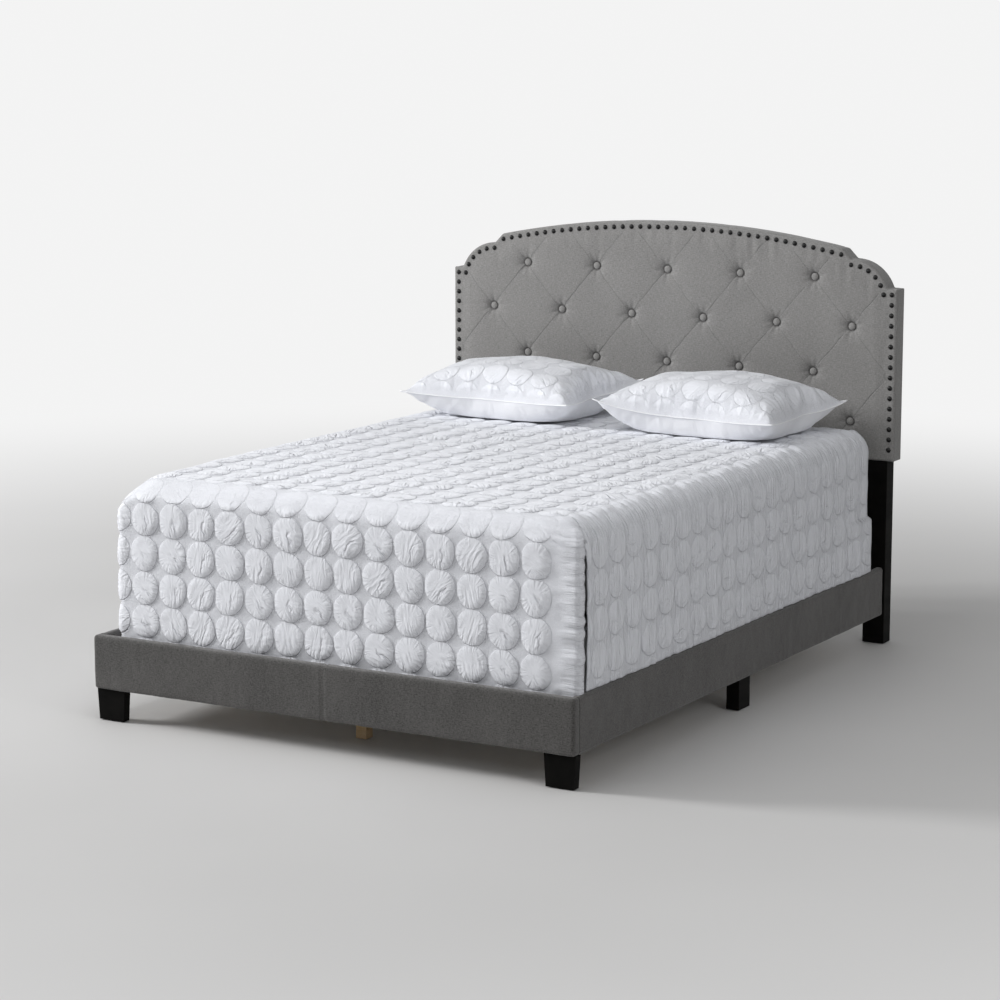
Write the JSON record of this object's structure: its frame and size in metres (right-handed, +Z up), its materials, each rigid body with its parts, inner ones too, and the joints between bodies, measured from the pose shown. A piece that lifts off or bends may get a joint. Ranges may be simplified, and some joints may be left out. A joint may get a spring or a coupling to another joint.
{
  "type": "upholstered bed",
  "caption": "Upholstered bed with an arched, tufted, nail-bordered headboard, padded rails, block feet, box spring, mattress, circle-quilted coverlet and plump pillows.",
  "frame": {"origin": "on the floor under the middle of the bed's overall box", "axes": "+Z up, +Y from the foot to the headboard, +X to the right seen from the foot"},
  "size_m": [1.686, 2.21, 1.3778],
  "materials": {
    "grey_linen": "heathered linen weave",
    "foam": "open-cell foam",
    "plywood": "bare sheet",
    "pine": "bare softwood",
    "black_wood": "black satin lacquer",
    "black_lining": "thin non-woven",
    "black_nails": "black gloss",
    "steel": "zinc plated",
    "black_plastic": "matt",
    "white_ticking": "woven ticking",
    "padding": "springs and wadding",
    "white_quilting": "cotton quilted in circles",
    "white_cotton": "plain cotton"
  },
  "bodies": {
    "frame": {"bracket_bolts": "steel", "centre_legs": "pine", "corner_blocks": "pine", "corner_bolts": "steel", "foot_front_left": "black_wood", "foot_front_right": "black_wood", "foot_rail_board": "plywood", "foot_rail_cover": "grey_linen", "foot_rail_foam": "foam", "foot_studs": "steel", "glides": "black_plastic", "headboard_battens": "pine", "headboard_cover": "grey_linen", "headboard_foam": "foam", "headboard_leg_left": "black_wood", "headboard_leg_right": "black_wood", "headboard_lining": "black_lining", "headboard_panel": "plywood", "ledger_left": "pine", "ledger_right": "pine", "leg_bolts": "steel", "leg_nuts": "steel", "mid_leg_left": "black_wood", "mid_leg_right": "black_wood", "nail_heads": "black_nails", "rail_brackets": "steel", "rail_screws": "steel", "side_rail_left_board": "plywood", "side_rail_left_cover": "grey_linen", "side_rail_left_foam": "foam", "side_rail_right_board": "plywood", "side_rail_right_cover": "grey_linen", "side_rail_right_foam": "foam", "slat_screws": "steel", "slats": "pine", "threaded_inserts": "steel", "tuft_buttons": "grey_linen", "tuft_washers": "steel"},
    "box_spring": {"box_spring_frame": "pine", "box_spring_core": "padding", "box_spring_cover": "white_ticking"},
    "mattress": {"mattress_core": "padding", "mattress_cover": "white_ticking", "mattress_piping": "white_ticking"},
    "quilt": {"quilt": "white_quilting"},
    "pillow_left": {"pillow_left_filling": "padding", "pillow_left_top": "white_quilting", "pillow_left_back": "white_cotton"},
    "pillow_right": {"pillow_right_filling": "padding", "pillow_right_top": "white_quilting", "pillow_right_back": "white_cotton"}
  },
  "joints": [
    {"name": "box_spring_lift", "type": "slide", "parent": "frame", "child": "box_spring", "axis": [0, 0, 1], "range_m": [0, 0.35]},
    {"name": "mattress_lift", "type": "slide", "parent": "box_spring", "child": "mattress", "axis": [0, 0, 1], "range_m": [0, 0.35]},
    {"name": "quilt_lift", "type": "slide", "parent": "mattress", "child": "quilt", "axis": [0, 0, 1], "range_m": [0, 0.5]},
    {"name": "pillow_left_lift", "type": "slide", "parent": "quilt", "child": "pillow_left", "axis": [0, 0, 1], "range_m": [0, 0.3]},
    {"name": "pillow_right_lift", "type": "slide", "parent": "quilt", "child": "pillow_right", "axis": [0, 0, 1], "range_m": [0, 0.3]}
  ]
}
